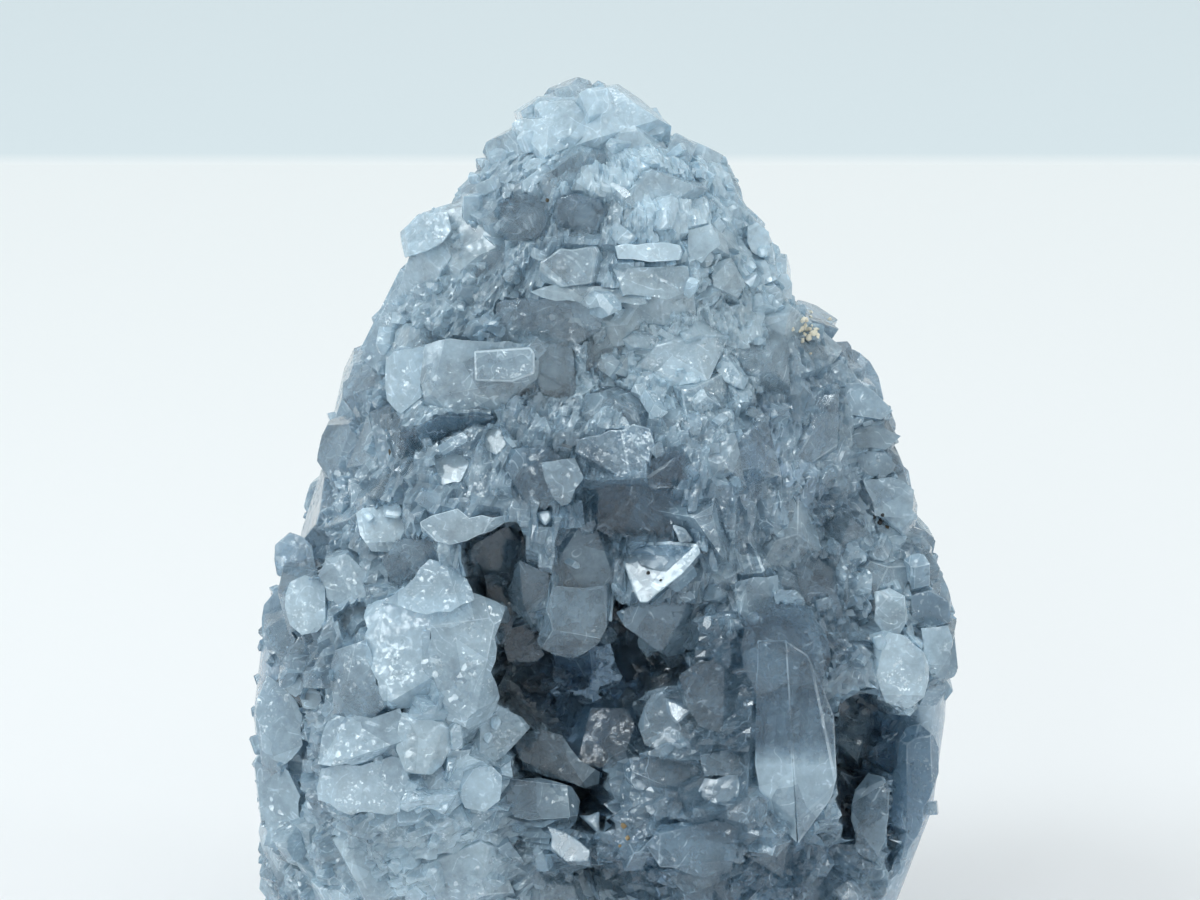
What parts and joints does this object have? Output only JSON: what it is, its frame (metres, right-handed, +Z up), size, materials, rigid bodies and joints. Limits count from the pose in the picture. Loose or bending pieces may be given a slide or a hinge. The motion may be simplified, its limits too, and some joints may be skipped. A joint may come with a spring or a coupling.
{
  "type": "celestite crystal cluster",
  "caption": "Standing section of a celestite geode: a smooth-backed wall whose face is covered in blocky and pointed blue-grey crystals around a deep pocket.",
  "frame": {"origin": "middle of the piece's width and depth, on the plane of its flat base", "axes": "+Z up along the standing height, -Y out of the crystal face, +X to the right of someone looking at that face"},
  "size_m": [0.0898, 0.0698, 0.1187],
  "materials": {
    "blue_grey_celestite": "satin"
  },
  "bodies": {
    "root": {"celestite_cluster": "blue_grey_celestite"}
  },
  "joints": []
}
